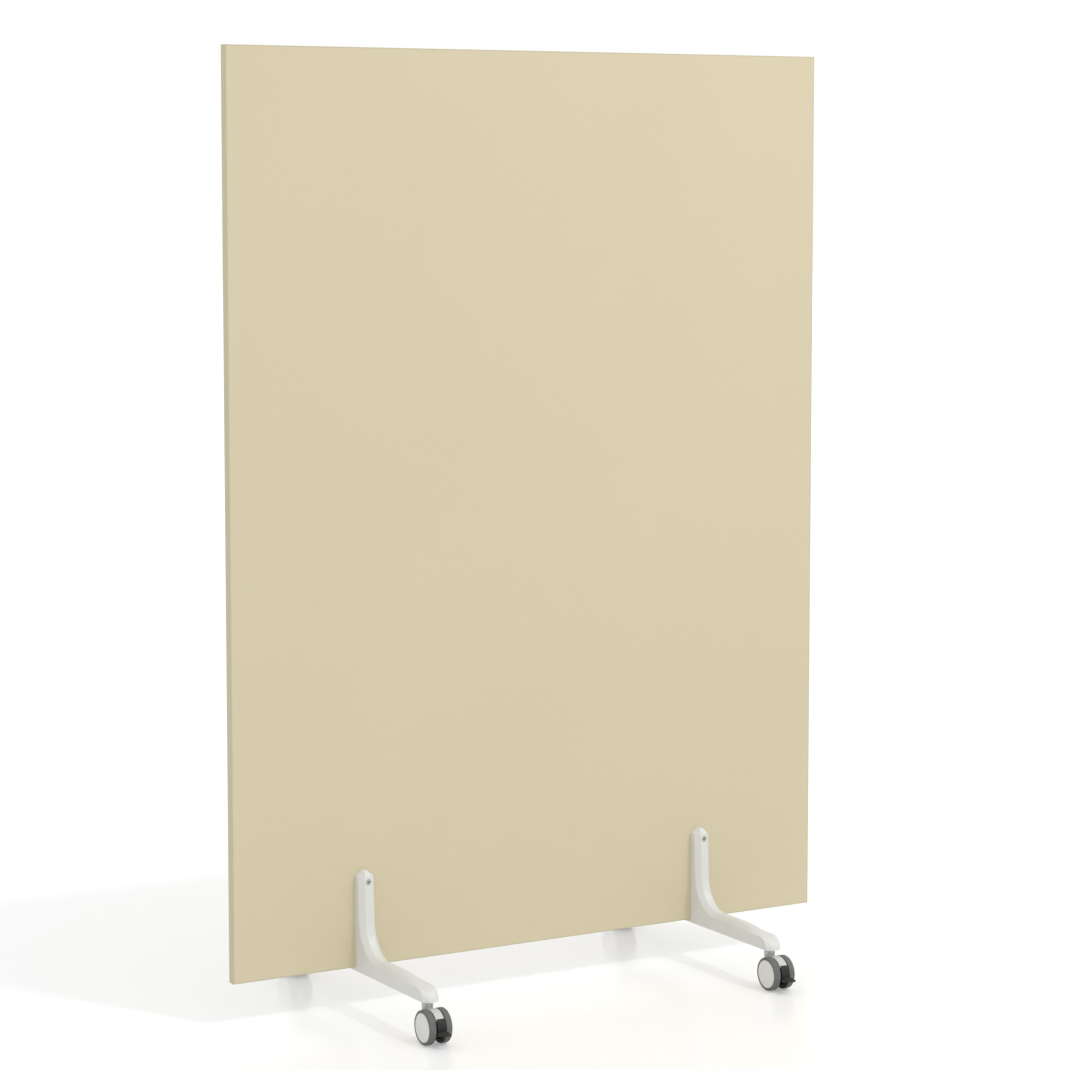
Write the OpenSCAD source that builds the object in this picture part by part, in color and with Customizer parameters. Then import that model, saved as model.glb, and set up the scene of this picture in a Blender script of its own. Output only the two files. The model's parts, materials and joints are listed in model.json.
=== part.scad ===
// Rolling partition: an upright laminated board held by two cast feet, each of
// which stands on two braked twin-wheel casters.
// Millimetres, +Z up. The origin is on the floor under the middle of the board,
// +X runs along the board and -Y is its front.

/* [Board] */
// Width of the board
board_w = 1200; // [900:10:1500]
// Height of the board
board_h = 1600; // [1200:10:1800]
// Thickness of the board with both laminates
board_t = 18; // [16:0.5:25]
// Thickness of the laminate on each face
laminate_t = 0.8; // [0.5:0.1:1.2]
// Thickness of the band on each edge
band_t = 2; // [1:0.5:3]
// Radius on the outer corners of the edge band
band_r = 0.8; // [0.3:0.1:0.9]

/* [Feet] */
// Distance between the middles of the two feet
foot_spacing = 700; // [500:10:800]
// Width of a foot
foot_w = 31; // [29:1:40]
// Height of the arms above the underside of the foot
arm_h = 179; // [165:1:220]
// Thickness of an arm at its top
arm_t = 20; // [18:0.5:22]
// Thickness of an arm where it starts to curve into the bar
arm_root_t = 23; // [22:0.5:28]
// Radius of the inner curve between an arm and its bar
root_r = 60; // [40:1:70]
// Height of a bar near the board
bar_h = 32; // [29:0.5:38]
// Reach of a bar from the face of the board to its nose
bar_reach = 257; // [235:1:300]
// Distance from the face of the board at which the bar starts to fall
crown_start = 130; // [105:1:150]
// Radius of the falling top of a bar along its crest
crown_r = 500; // [450:10:900]
// Radius of the falling top of a bar along its shoulders
shoulder_crown_r = 4000; // [2000:100:6000]
// Radius of the nose of a bar along its crest
nose_r = 27; // [24:1:30]
// Radius of the nose of a bar along its shoulders
shoulder_nose_r = 20; // [16:1:22]
// Width of the bevel that runs round the arms and bars
bevel = 9; // [6:0.5:11]
// Radius on the long edges of the bevel
edge_r = 1.6; // [0.5:0.1:2.5]
// Thickness of the saddle that carries the board's lower edge
saddle_t = 6; // [4:0.5:10]
// Wall beside the hollow underside of a bar
bar_wall = 4; // [3:0.5:6]
// Thickness of a bar above its hollow underside, measured from the crest
bar_roof = 10; // [9:0.5:13]
// Number of cells in the hollow underside of a bar
bar_cells = 4; // [2:1:6]
// Thickness of the ribs between the cells
rib_t = 3; // [2:0.5:5]

/* [Through bolts] */
// Height of the bolts above the underside of the foot
bolt_up = 160; // [145:1:160]
// Diameter of the screw's shank
screw_d = 6; // [5:0.5:7]
// Outer diameter of the nut's sleeve
sleeve_d = 8.5; // [8:0.1:9.5]
// Diameter of the screw and nut heads
head_d = 10; // [9.5:0.1:11]
// Height of the screw and nut heads
head_h = 6; // [5:0.5:7]
// Depth of the recesses that hold the heads
recess_depth = 7.5; // [7:0.5:9]
// Width across the flats of the hexagon sockets
socket_af = 5; // [4:0.5:6]
// Depth of the hexagon sockets
socket_depth = 3; // [2:0.5:4]
// Clearance round the heads and the sleeves
bolt_gap = 0.3; // [0.2:0.1:0.5]
// Play between the end of the sleeve and the screw head
sleeve_play = 10; // [8:1:14]

/* [Casters] */
// Height from the floor to the underside of the foot
caster_h = 70; // [68:0.5:85]
// Diameter of a wheel
wheel_d = 60; // [50:1:62]
// Width of a wheel
wheel_w = 13.4; // [11:0.1:16]
// Gap between the two wheels
wheel_gap = 16.6; // [16:0.1:20]
// Distance from the swivel axis to the axle
trail = 20.7; // [19:0.1:24]
// Distance from the nose of a bar to the swivel axis
stem_inset = 21; // [18:0.5:28]
// Diameter of the axle
axle_d = 6; // [5:0.5:7]
// Running clearance, all round, of the wheels, the housing and the pedal on their pins
running_gap = 0.05; // [0.03:0.01:0.08]
// Thickness of the tyre
tyre_t = 5; // [4:0.5:6]
// Radius on the shoulders of the tyre
tyre_r = 3; // [2:0.5:3.5]
// Thickness of the rim under the tyre
rim_t = 2.5; // [2:0.1:3]
// Thickness of the wheel's outer face
face_t = 2.8; // [2:0.1:3.5]
// Depth of the dish in the wheel's outer face
dish_depth = 0.6; // [0.3:0.1:1]
// Radius of the boss inside a wheel
hub_r = 7; // [6:0.5:8]
// Number of ribs inside a wheel
hub_ribs = 6; // [4:1:8]
// Height of the ribs inside a wheel
hub_rib_h = 4; // [2:0.5:5]

/* [Swivel] */
// Diameter of the stem's collar
collar_d = 19.6; // [17:0.1:20]
// Height of the stem's collar
collar_h = 9.4; // [8:0.1:10]
// Diameter of the stud that is screwed into the foot
stud_d = 10; // [8:1:12]
// Length of the stud
stud_len = 15; // [10:1:16]
// Diameter of the swivel pin
pin_d = 8; // [7:0.5:9]
// Thickness of the thrust washer
washer_t = 0.8; // [0.5:0.1:1.5]
// Clearance between the thrust washer and the housing
swivel_gap = 0.2; // [0.1:0.05:0.4]
// Thickness of the retaining clip
clip_t = 1; // [0.8:0.1:1.4]

/* [Housing and pedal] */
// Gap between the hood and the wheels' treads, measured along the radius
hood_drop = 0.5; // [0.3:0.1:1.5]
// Thickness of the hood
hood_t = 2.5; // [2:0.1:3]
// Angle from the vertical at which the hood ends
hood_end = 52; // [45:1:53]
// Thickness of the web under the hood
web_t = 4.4; // [3:0.1:5]
// Side clearance of the housing and the pedal between the wheels
side_gap = 0.5; // [0.4:0.1:0.8]
// Distance of the pedal's pivot beyond the axle
pivot_out = 17; // [16:0.5:18]
// Height of the pedal's pivot above the axle
pivot_up = 2; // [1:0.5:3]
// Diameter of the pedal's pin
pivot_d = 4; // [3:0.5:4.5]
// Thickness of the pedal's shell
pedal_t = 2.4; // [2:0.1:3]
// Angle from the vertical at which the pedal ends below its tread
pedal_end = 112; // [105:1:118]
// Distance from the axle to the end of the pedal's tread
pedal_reach = 53.5; // [48:0.1:56]
// Radius on the corners of the pedal's shell
pedal_corner_r = 2.2; // [0.5:0.1:4]
// Thickness of the pedal's tread
tread_t = 2.8; // [2:0.1:3.4]
// Radius on the outer corners of the pedal's tread
tread_corner_r = 3.5; // [1:0.5:6]
// Depth of the tread's root below the axle
tread_drop = 1.6; // [0:0.1:3]
// Fall of the pedal's tread from root to end
tread_fall = 2.8; // [1:0.1:4]
// Radius of the brake studs on the pedal's cheeks
brake_stud_r = 1.8; // [1.5:0.1:1.9]

/* [Hidden] */
$fn = 72;
FRONT = -1;
REAR = 1;
LEFT = -1;
RIGHT = 1;
CORNERS = [
    ["front_left", LEFT, FRONT], ["front_right", RIGHT, FRONT],
    ["rear_left", LEFT, REAR], ["rear_right", RIGHT, REAR],
];
CASTER_PARTS = [
    "stem", "thrust_washer", "swivel_clip", "housing", "axle", "left_hub", "right_hub",
    "left_tyre", "right_tyre", "brake_pedal", "pedal_pin",
];

skin = 0.01; // how far a cut runs past the face it starts from
face_y = board_t / 2;
saddle_z = caster_h + saddle_t;
board_mid_z = saddle_z + board_h / 2;
core_t = board_t - 2 * laminate_t;
sheet_w = board_w - 2 * band_t;
sheet_h = board_h - 2 * band_t;

bolt_z = caster_h + bolt_up;
bolt_slope = (arm_root_t - arm_t) / (arm_h - bar_h - root_r);
bolt_face_y = face_y + arm_t + (arm_h - bolt_up) * bolt_slope;
seat_y = bolt_face_y - recess_depth;
bolt_hole_d = sleeve_d + 2 * bolt_gap;
recess_d = head_d + 2 * bolt_gap;
bolt_end_y = seat_y - sleeve_play; // the screw's tip, and on the other side the sleeve's mouth

stem_y = face_y + bar_reach - stem_inset;
wheel_r = wheel_d / 2;
wheel_in = wheel_gap / 2;
wheel_out = wheel_in + wheel_w;
between_w = wheel_gap - 2 * side_gap;
axle_boss_w = between_w - 0.4;
tyre_in_r = wheel_r - tyre_t;
rim_in_r = tyre_in_r - rim_t;
rim_start = wheel_in + 0.6; // the rim is set in from the tyre's inner side
face_x = wheel_out - 0.3; // the face is set in from the tyre's outer side
face_in = face_x - face_t;
face_edge_r = 0.5;
dish_margin = 2.5; // width of the raised edge round the dish
dish_slope = 1.5; // width of the dish's sloping side
hub_start = axle_boss_w / 2 + 0.2;
axle_len = 2 * (wheel_out - face_t - 0.8);
housing_top = caster_h - collar_h - washer_t - swivel_gap;
socket_z = wheel_r - 6;
socket_d = between_w;
collar_edge = 0.3; // chamfer on the collar's lower edge
collar_top_edge = 1.2; // chamfer on the collar's upper edge
neck_d = collar_d - 2 * collar_edge;
neck_z = housing_top - 7; // where the neck reaches its full width
neck_flare = 8; // height over which it widens from the socket
clip_recess_d = 13;
clip_recess_h = 4;
clip_z = socket_z + clip_recess_h - swivel_gap - clip_t;
clip_d = 11.5;
groove_d = 6.6;
pin_end_z = socket_z + 0.8;
hood_r = wheel_r - hood_drop;
hood_start = -72;
axle_boss_r = 7;
pivot_boss_r = 4.6;
pedal_r = wheel_r + 1;
pedal_start = hood_end + 2.5;
cheek_in = web_t / 2 + 0.4;
cheek_t = 3.4;
cheek_in_r = 13;
brake_stud_at = [13, 13];
brake_stud_end = wheel_in + 3;
grip_ribs = 3;
grip_pitch = 3;
grip_r = 0.5;
hub_rib_t = 1.6;

// ---------------------------------------------------------------- helpers

// Stands a profile drawn in (y, z) up and gives it a width along X
module side_extrude(width) rotate([90, 0, 90]) linear_extrude(width, center = true) children();

// Turns a section drawn in (radius, x) round an axis along X
module turn_about_x() rotate([90, 0, 90]) rotate_extrude() children();

// Ring sector between two angles from the vertical, positive towards +y
module ring_sector(r_in, r_out, from, to) {
    steps = 8;
    intersection() {
        difference() {
            circle(r_out);
            circle(r_in);
        }
        polygon(concat([[0, 0]],
            [for (i = [0:steps]) let (a = from + (to - from) * i / steps) 1.3 * r_out * [sin(a), cos(a)]]));
    }
}

// Bar with round ends between two points
module link(from, to, width) {
    run = to - from;
    for (end = [from, to]) translate(end) circle(d = width);
    translate(from) rotate(atan2(run[1], run[0])) translate([0, -width / 2]) square([norm(run), width]);
}

// Ring about Z
module tube(d_out, d_in, height) difference() {
    cylinder(d = d_out, h = height);
    translate([0, 0, -skin]) cylinder(d = d_in, h = height + 2 * skin);
}

// Points of an arc, without its first one
function arc(centre, r, from, to, steps) =
    [for (i = [1:steps]) let (a = from + (to - from) * i / steps) centre + r * [cos(a), sin(a)]];

// Rectangle with rounded corners, from -half to half and from low to high
function rounded_box(half, low, high, r) =
    let (in = half - r, up = high - r, down = low + r)
    concat(
        [[half, up]], arc([in, up], r, 0, 90, 6),
        [[-in, high]], arc([-in, up], r, 90, 180, 6),
        [[-half, down]], arc([-in, down], r, 180, 270, 6),
        [[in, low]], arc([in, down], r, 270, 360, 6)
    );

// ---------------------------------------------------------------- board

module board_core() color("burlywood") difference() {
    translate([0, 0, board_mid_z]) cube([sheet_w, core_t, sheet_h], center = true);
    bolt_holes(bolt_hole_d);
}

module laminate(side) color([0.87, 0.83, 0.70]) difference() {
    translate([0, side * (board_t - laminate_t) / 2, board_mid_z])
        cube([sheet_w, laminate_t, sheet_h], center = true);
    bolt_holes(bolt_hole_d);
}

// Section of an edge band: flat against the board, rounded outside
module band_section() {
    r = min(band_r, band_t - 0.1);
    translate([0, -board_t / 2]) square([band_t - r, board_t]);
    translate([0, -board_t / 2 + r]) square([band_t, board_t - 2 * r]);
    for (s = [-1, 1]) translate([band_t - r, s * (board_t / 2 - r)]) circle(r);
}

module side_edge_band(side) color([0.84, 0.80, 0.68])
    translate([side * sheet_w / 2, 0, saddle_z]) mirror([side < 0 ? 1 : 0, 0, 0])
        linear_extrude(board_h) band_section();

module level_edge_band(up) color([0.84, 0.80, 0.68])
    translate([0, 0, board_mid_z + up * sheet_h / 2]) mirror([0, 0, up < 0 ? 1 : 0])
        rotate([0, -90, 0]) linear_extrude(sheet_w, center = true) band_section();

// ---------------------------------------------------------------- feet

// Outline of one half of a foot in (y, z): from the heel, where the board's face meets the
// underside, out to the nose, back along the top of the bar and up the arm.
// inset is how far the line lies inside the crest: 0 on the crest, bevel on the shoulders.
function half_outline(inset, fall_r, tip_r) =
    let (
        top = bar_h - inset,
        tip = bar_reach - inset,
        crown_centre = [crown_start, top - fall_r],
        tip_out = tip - tip_r,
        reach = fall_r - tip_r,
        tip_centre = [tip_out, crown_centre[1] + sqrt(reach * reach - pow(tip_out - crown_start, 2))],
        low = asin(-tip_centre[1] / tip_r),
        high = atan2(tip_centre[1] - crown_centre[1], tip_out - crown_start),
        root = root_r + inset,
        root_centre = [arm_root_t - inset + root, top + root],
        arm_cut = inset > 0 ? 1 : bevel
    )
    concat(
        [[0, 0], tip_centre + tip_r * [cos(low), sin(low)]],
        arc(tip_centre, tip_r, low, high, 12),
        arc(crown_centre, fall_r, high, 90, 8),
        [[root_centre[0], top]],
        arc(root_centre, root, 270, 180, 16),
        [[arm_t - inset, arm_h - inset - arm_cut],
         [arm_t - inset - arm_cut, arm_h - inset],
         [0, arm_h - inset]]
    );

// Where the outlines stand across one side of a foot, from its flank to its crest, as
// [distance from the middle, share of the bevel]. The bevel meets the flank and the crest
// at 45 degrees, and both edges are arcs of edge_r.
function ring_places() =
    let (
        run = edge_r * tan(22.5),
        flank = [foot_w / 2 - edge_r, bevel + run],
        crest = [foot_w / 2 - bevel - run, edge_r]
    )
    concat(
        [for (a = [0:22.5:45]) flank + edge_r * [cos(a), -sin(a)]],
        [for (a = [45:22.5:90]) crest + edge_r * [cos(a), -sin(a)]]
    );

// Half a foot: outlines across its width, joined ring to ring. Each outline is seen whole
// from its heel, so its cap is a fan of triangles from there.
module half_foot() {
    crest = half_outline(0, crown_r, nose_r);
    shoulder = half_outline(bevel, shoulder_crown_r, shoulder_nose_r);
    side = ring_places();
    rings = concat(
        [for (place = side) [-place[0], place[1] / bevel]],
        [for (i = [len(side) - 1:-1:0]) [side[i][0], side[i][1] / bevel]]
    );
    n = len(crest);
    last = (len(rings) - 1) * n;
    points = [for (ring = rings) for (i = [0:n - 1])
        let (p = crest[i] + ring[1] * (shoulder[i] - crest[i]))
        [ring[0], face_y + p[0], caster_h + p[1]]];
    bands = [for (k = [0:n:last - 1]) for (i = [0:n - 1]) let (j = (i + 1) % n)
        each [[k + i, k + n + i, k + n + j], [k + i, k + n + j, k + j]]];
    caps = [for (i = [1:n - 2]) each [[0, i, i + 1], [last, last + i + 1, last + i]]];
    polyhedron(points = points, faces = concat(bands, caps), convexity = 6);
}

// The hollow cells on the underside of one bar: their roof runs along under the crest
module bar_hollow() {
    near = arm_root_t;
    far = bar_reach - stem_inset - stud_d / 2 - 2 * bar_wall;
    cell = (far - near - (bar_cells - 1) * rib_t) / bar_cells;
    translate([0, face_y, caster_h]) side_extrude(foot_w - 2 * bar_wall) {
        intersection() {
            polygon(half_outline(bar_roof, crown_r - bar_roof, nose_r - bar_roof));
            cell_row(near, cell, bar_h);
        }
        translate([0, -skin]) cell_row(near, cell, 2 * skin);
    }
}

// Side view of the cells, in a row from near outwards
module cell_row(near, cell, height)
    for (i = [0:bar_cells - 1]) translate([near + i * (cell + rib_t), 0]) square([cell, height]);

// Bolt holes through the board and the arms, for both feet
module bolt_holes(d) {
    for (side = [LEFT, RIGHT]) translate([side * foot_spacing / 2, 0, bolt_z])
        rotate([90, 0, 0]) cylinder(d = d, h = 3 * bolt_face_y, center = true);
}

module foot(side) color([0.88, 0.88, 0.86]) translate([side * foot_spacing / 2, 0, 0]) difference() {
    union() {
        half_foot();
        mirror([0, 1, 0]) half_foot();
        translate([-foot_w / 2, -face_y - saddle_t, caster_h])
            cube([foot_w, board_t + 2 * saddle_t, saddle_t]);
    }
    translate([0, 0, bolt_z]) rotate([90, 0, 0]) {
        cylinder(d = bolt_hole_d, h = 3 * bolt_face_y, center = true);
        for (way = [FRONT, REAR]) mirror([0, 0, way < 0 ? 1 : 0])
            translate([0, 0, seat_y]) cylinder(d = recess_d, h = bolt_face_y);
    }
    for (way = [FRONT, REAR]) mirror([0, way < 0 ? 1 : 0, 0]) {
        bar_hollow();
        translate([0, stem_y, caster_h - skin]) cylinder(d = stud_d, h = stud_len + 0.5 + skin);
    }
}

// ---------------------------------------------------------------- through bolts

// Head with a hexagon socket: seated at z = 0, its socket opening upwards
module socket_head() difference() {
    union() {
        cylinder(d = head_d, h = head_h - 0.5);
        translate([0, 0, head_h - 0.5]) cylinder(d1 = head_d, d2 = head_d - 1, h = 0.5);
    }
    translate([0, 0, head_h - socket_depth])
        cylinder(d = socket_af / cos(30), h = socket_depth + skin, $fn = 6);
}

module through_screws() color("dimgray")
    for (side = [LEFT, RIGHT]) translate([side * foot_spacing / 2, -seat_y, bolt_z]) rotate([90, 0, 0]) {
        socket_head();
        translate([0, 0, -seat_y - bolt_end_y]) cylinder(d = screw_d, h = seat_y + bolt_end_y);
    }

module sleeve_nuts() color("dimgray")
    for (side = [LEFT, RIGHT]) translate([side * foot_spacing / 2, seat_y, bolt_z]) rotate([-90, 0, 0])
        difference() {
            union() {
                socket_head();
                translate([0, 0, -seat_y - bolt_end_y]) cylinder(d = sleeve_d, h = seat_y + bolt_end_y);
            }
            translate([0, 0, -seat_y - bolt_end_y - skin])
                cylinder(d = screw_d, h = seat_y + bolt_end_y - 1);
        }

// ---------------------------------------------------------------- casters
// Each caster part is drawn with the swivel axis on Z, the floor at z = 0 and
// the axle towards +Y.

module at_corner(corner)
    translate([corner[1] * foot_spacing / 2, corner[2] * stem_y, 0])
        mirror([0, corner[2] < 0 ? 1 : 0, 0]) children();

module at_axle() translate([0, trail, wheel_r]) children();

module at_pivot() translate([0, pivot_out, pivot_up]) children();

module stem() color([0.58, 0.60, 0.60]) {
    difference() {
        translate([0, 0, pin_end_z]) cylinder(d = pin_d, h = caster_h - pin_end_z);
        translate([0, 0, clip_z]) tube(pin_d + 1, groove_d, clip_t);
    }
    translate([0, 0, caster_h - collar_h]) {
        cylinder(d1 = collar_d - 2 * collar_edge, d2 = collar_d, h = collar_edge);
        translate([0, 0, collar_edge]) cylinder(d = collar_d, h = collar_h - collar_edge - collar_top_edge);
        translate([0, 0, collar_h - collar_top_edge])
            cylinder(d1 = collar_d, d2 = collar_d - 2 * collar_top_edge, h = collar_top_edge);
    }
    translate([0, 0, caster_h]) {
        cylinder(d = stud_d, h = stud_len - 1);
        translate([0, 0, stud_len - 1]) cylinder(d1 = stud_d, d2 = stud_d - 2, h = 1);
    }
}

module thrust_washer() color("gainsboro")
    translate([0, 0, caster_h - collar_h - washer_t]) tube(neck_d, pin_d, washer_t);

module swivel_clip() color("silver") translate([0, 0, clip_z]) difference() {
    tube(clip_d, groove_d, clip_t);
    translate([0, -clip_d / 2, clip_t / 2]) cube([groove_d - 2, clip_d, 2 * clip_t], center = true);
}

// Neck of the housing under the thrust washer, cut away round the two wheels
module neck() difference() {
    translate([0, 0, neck_z]) {
        cylinder(d = neck_d, h = housing_top - neck_z);
        translate([0, 0, -neck_flare]) cylinder(d1 = socket_d, d2 = neck_d, h = neck_flare);
    }
    at_axle() rotate([0, 90, 0]) for (end = [0, 1]) mirror([0, 0, end])
        translate([0, 0, between_w / 2]) cylinder(r = wheel_r + hood_drop, h = wheel_w);
}

module housing() color([0.80, 0.81, 0.79]) difference() {
    union() {
        at_axle() {
            side_extrude(between_w) ring_sector(hood_r - hood_t, hood_r, hood_start, hood_end);
            side_extrude(web_t) {
                ring_sector(axle_boss_r - 1, hood_r - hood_t / 2, hood_start, hood_end);
                link([0, 0], [pivot_out, pivot_up], 2 * pivot_boss_r);
            }
            rotate([0, 90, 0]) cylinder(r = axle_boss_r, h = axle_boss_w, center = true);
        }
        translate([0, 0, socket_z]) cylinder(d = socket_d, h = housing_top - socket_z);
        neck();
    }
    translate([0, 0, socket_z - skin]) {
        cylinder(d = pin_d + 2 * running_gap, h = caster_h);
        cylinder(d = clip_recess_d, h = clip_recess_h + skin);
    }
    translate([0, 0, housing_top]) cylinder(d = wheel_d, h = caster_h);
    at_axle() {
        rotate([0, 90, 0]) cylinder(d = axle_d, h = wheel_d, center = true);
        at_pivot() rotate([0, 90, 0]) cylinder(d = pivot_d, h = wheel_d, center = true);
    }
}

module axle() color("silver") at_axle() rotate([0, 90, 0]) {
    cylinder(d = axle_d, h = axle_len - 1, center = true);
    for (end = [0, 1]) mirror([0, 0, end]) translate([0, 0, axle_len / 2 - 0.5])
        cylinder(d1 = axle_d, d2 = axle_d - 1, h = 0.5);
}

module hub(side) color([0.84, 0.83, 0.81]) at_axle() mirror([side < 0 ? 1 : 0, 0, 0]) difference() {
    union() {
        turn_about_x() {
            translate([rim_in_r, rim_start]) square([rim_t, face_x - face_edge_r - rim_start]);
            translate([0, face_in]) square([tyre_in_r, face_t - face_edge_r]);
            translate([0, face_in]) square([tyre_in_r - face_edge_r, face_t]);
            translate([tyre_in_r - face_edge_r, face_x - face_edge_r]) circle(face_edge_r);
            translate([0, hub_start]) square([hub_r, face_in - hub_start + skin]);
        }
        for (i = [0:hub_ribs - 1]) rotate([i * 360 / hub_ribs, 0, 0])
            translate([face_in - hub_rib_h, -hub_rib_t / 2, hub_r - 1])
                cube([hub_rib_h + 0.5, hub_rib_t, rim_in_r - hub_r + 2]);
    }
    rotate([0, 90, 0]) cylinder(r = axle_d / 2 + running_gap, h = face_in - 0.2);
    translate([face_x - dish_depth, 0, 0]) rotate([0, 90, 0])
        cylinder(r1 = tyre_in_r - dish_margin - dish_slope, r2 = tyre_in_r - dish_margin,
            h = dish_depth + skin);
}

module tyre(side) color([0.36, 0.36, 0.35]) at_axle() mirror([side < 0 ? 1 : 0, 0, 0]) turn_about_x()
    intersection() {
        translate([tyre_in_r, wheel_in]) square([tyre_t, wheel_w]);
        union() {
            translate([0, wheel_in]) square([wheel_r - tyre_r, wheel_w]);
            translate([0, wheel_in + tyre_r]) square([wheel_r, wheel_w - 2 * tyre_r]);
            for (x = [wheel_in + tyre_r, wheel_out - tyre_r]) translate([wheel_r - tyre_r, x]) circle(tyre_r);
        }
    }

// Profile of the pedal's tread, from the shell out to its rounded end
module tread_profile() {
    root = [pedal_r - pedal_t / 2, -tread_drop];
    end = [pedal_reach - tread_t / 2, -tread_drop - tread_fall];
    slope = atan2(end[1] - root[1], end[0] - root[0]);
    up = tread_t / 2 * [-sin(slope), cos(slope)];
    polygon(concat([root - up, root + up, end + up], arc(end, tread_t / 2, slope + 90, slope - 90, 10)));
    for (i = [1:grip_ribs]) translate(end + i * grip_pitch * [-cos(slope), -sin(slope)] + up) circle(grip_r);
}

module brake_pedal() color([0.14, 0.14, 0.14]) at_axle() difference() {
    pivot = [pivot_out, pivot_up];
    union() {
        intersection() {
            side_extrude(between_w) ring_sector(pedal_r - pedal_t, pedal_r, pedal_start, pedal_end);
            rotate([90, 0, 0]) linear_extrude(wheel_d + 2 * pedal_t, center = true)
                polygon(rounded_box(between_w / 2, pedal_r * cos(pedal_end), pedal_r * cos(pedal_start),
                    pedal_corner_r));
        }
        intersection() {
            side_extrude(between_w) tread_profile();
            linear_extrude(wheel_r, center = true)
                polygon(rounded_box(between_w / 2, 0, pedal_reach, tread_corner_r));
        }
        for (side = [LEFT, RIGHT]) {
            translate([side * (cheek_in + cheek_t / 2), 0, 0]) side_extrude(cheek_t) {
                ring_sector(cheek_in_r, pedal_r - pedal_t / 2, pedal_start, pedal_end - 4);
                link(pivot, brake_stud_at, 2 * pivot_boss_r - 2);
                translate(pivot) circle(pivot_boss_r);
            }
            translate([side * cheek_in, brake_stud_at[0], brake_stud_at[1]]) rotate([0, side * 90, 0])
                cylinder(r = brake_stud_r, h = brake_stud_end - cheek_in);
        }
    }
    at_pivot() rotate([0, 90, 0]) cylinder(r = pivot_d / 2 + running_gap, h = wheel_d, center = true);
}

module pedal_pin() color("silver") at_axle() at_pivot() rotate([0, 90, 0])
    cylinder(d = pivot_d, h = 2 * (cheek_in + cheek_t), center = true);

// ---------------------------------------------------------------- nodes

board_core();
laminate(FRONT);  // front_laminate
laminate(REAR);  // rear_laminate
level_edge_band(1);  // top_edge_band
level_edge_band(-1);  // bottom_edge_band
side_edge_band(LEFT);  // left_edge_band
side_edge_band(RIGHT);  // right_edge_band
foot(LEFT);  // left_foot
foot(RIGHT);  // right_foot
through_screws();
sleeve_nuts();
for (corner = CORNERS) {
    name = corner[0];
    at_corner(corner) stem();
    at_corner(corner) thrust_washer();
    at_corner(corner) swivel_clip();
    at_corner(corner) housing();
    at_corner(corner) axle();
    at_corner(corner) hub(LEFT);
    at_corner(corner) hub(RIGHT);
    at_corner(corner) tyre(LEFT);
    at_corner(corner) tyre(RIGHT);
    at_corner(corner) brake_pedal();
    at_corner(corner) pedal_pin();
}
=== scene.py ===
import json
import math

import bmesh
import bpy
from mathutils import Matrix, Vector


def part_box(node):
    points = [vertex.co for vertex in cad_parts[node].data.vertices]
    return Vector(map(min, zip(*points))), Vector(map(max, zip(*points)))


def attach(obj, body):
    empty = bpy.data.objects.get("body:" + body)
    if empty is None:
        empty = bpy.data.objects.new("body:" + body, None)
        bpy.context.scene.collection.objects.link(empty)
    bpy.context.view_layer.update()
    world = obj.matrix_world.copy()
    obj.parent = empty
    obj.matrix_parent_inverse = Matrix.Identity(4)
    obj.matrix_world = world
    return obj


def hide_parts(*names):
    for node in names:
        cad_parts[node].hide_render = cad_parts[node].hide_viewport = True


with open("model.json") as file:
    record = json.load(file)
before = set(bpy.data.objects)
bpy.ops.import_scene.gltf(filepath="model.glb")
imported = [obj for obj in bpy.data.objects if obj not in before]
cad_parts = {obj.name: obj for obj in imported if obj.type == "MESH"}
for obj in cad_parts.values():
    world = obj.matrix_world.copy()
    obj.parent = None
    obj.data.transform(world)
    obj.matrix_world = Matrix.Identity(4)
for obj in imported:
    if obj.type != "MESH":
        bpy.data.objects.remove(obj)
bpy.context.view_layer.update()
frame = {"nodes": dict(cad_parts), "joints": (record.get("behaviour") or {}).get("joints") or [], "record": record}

MM = 0.001
CORNERS = ["front_left", "front_right", "rear_left", "rear_right"]
SIDES = {"left": -1, "right": 1}
JOINTS = {joint["name"]: joint for joint in frame["joints"]}
SLOT_OF = {part["node"]: part["material_slot"] for part in frame["record"]["subparts"]}
HALF_TURN = Matrix.Rotation(math.pi, 4, "Z")


# ---------------------------------------------------------------- camera, light and floor

CAMERA_AT = (-2.8141, -4.8222, 1.4727)
CAMERA_YAW = 0.52882          # clockwise from +Y, seen from above
CAMERA_PITCH = math.radians(5.343)  # below the horizontal
CAMERA_LENS = 105.57
CAMERA_SENSOR = 36
CAMERA_SHIFT_Y = -0.07
CAMERA_CLIP_END = 100

WHITE = (1, 1, 1, 1)
WORLD_COLOR = (0.98, 0.99, 1.0, 1)
WORLD_STRENGTH = 0.89
SUN_STRENGTH = 0.45
SUN_AZIMUTH = math.radians(28)      # from the front towards the right
SUN_ELEVATION = math.radians(54)
SUN_ANGLE = math.radians(4)
SUN_DISTANCE = 6
SOFTBOX_POWER = 8
SOFTBOX_AT = (1.5, -1.6, 2.7)
SOFTBOX_TARGET = (0.3, 0, 1.5)
SOFTBOX_SIZE = 1.2

FLOOR_SIZE = 60
FLOOR_COLOR = (0.93, 0.93, 0.925, 1)
FLOOR_ROUGHNESS = 0.18
FLOOR_SPECULAR = 0.18
FLOOR_SHADE = 0.80        # share of the floor's own shading that the camera sees
FLOOR_WHITE = 1.44        # brightness of the white that makes up the rest


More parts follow.
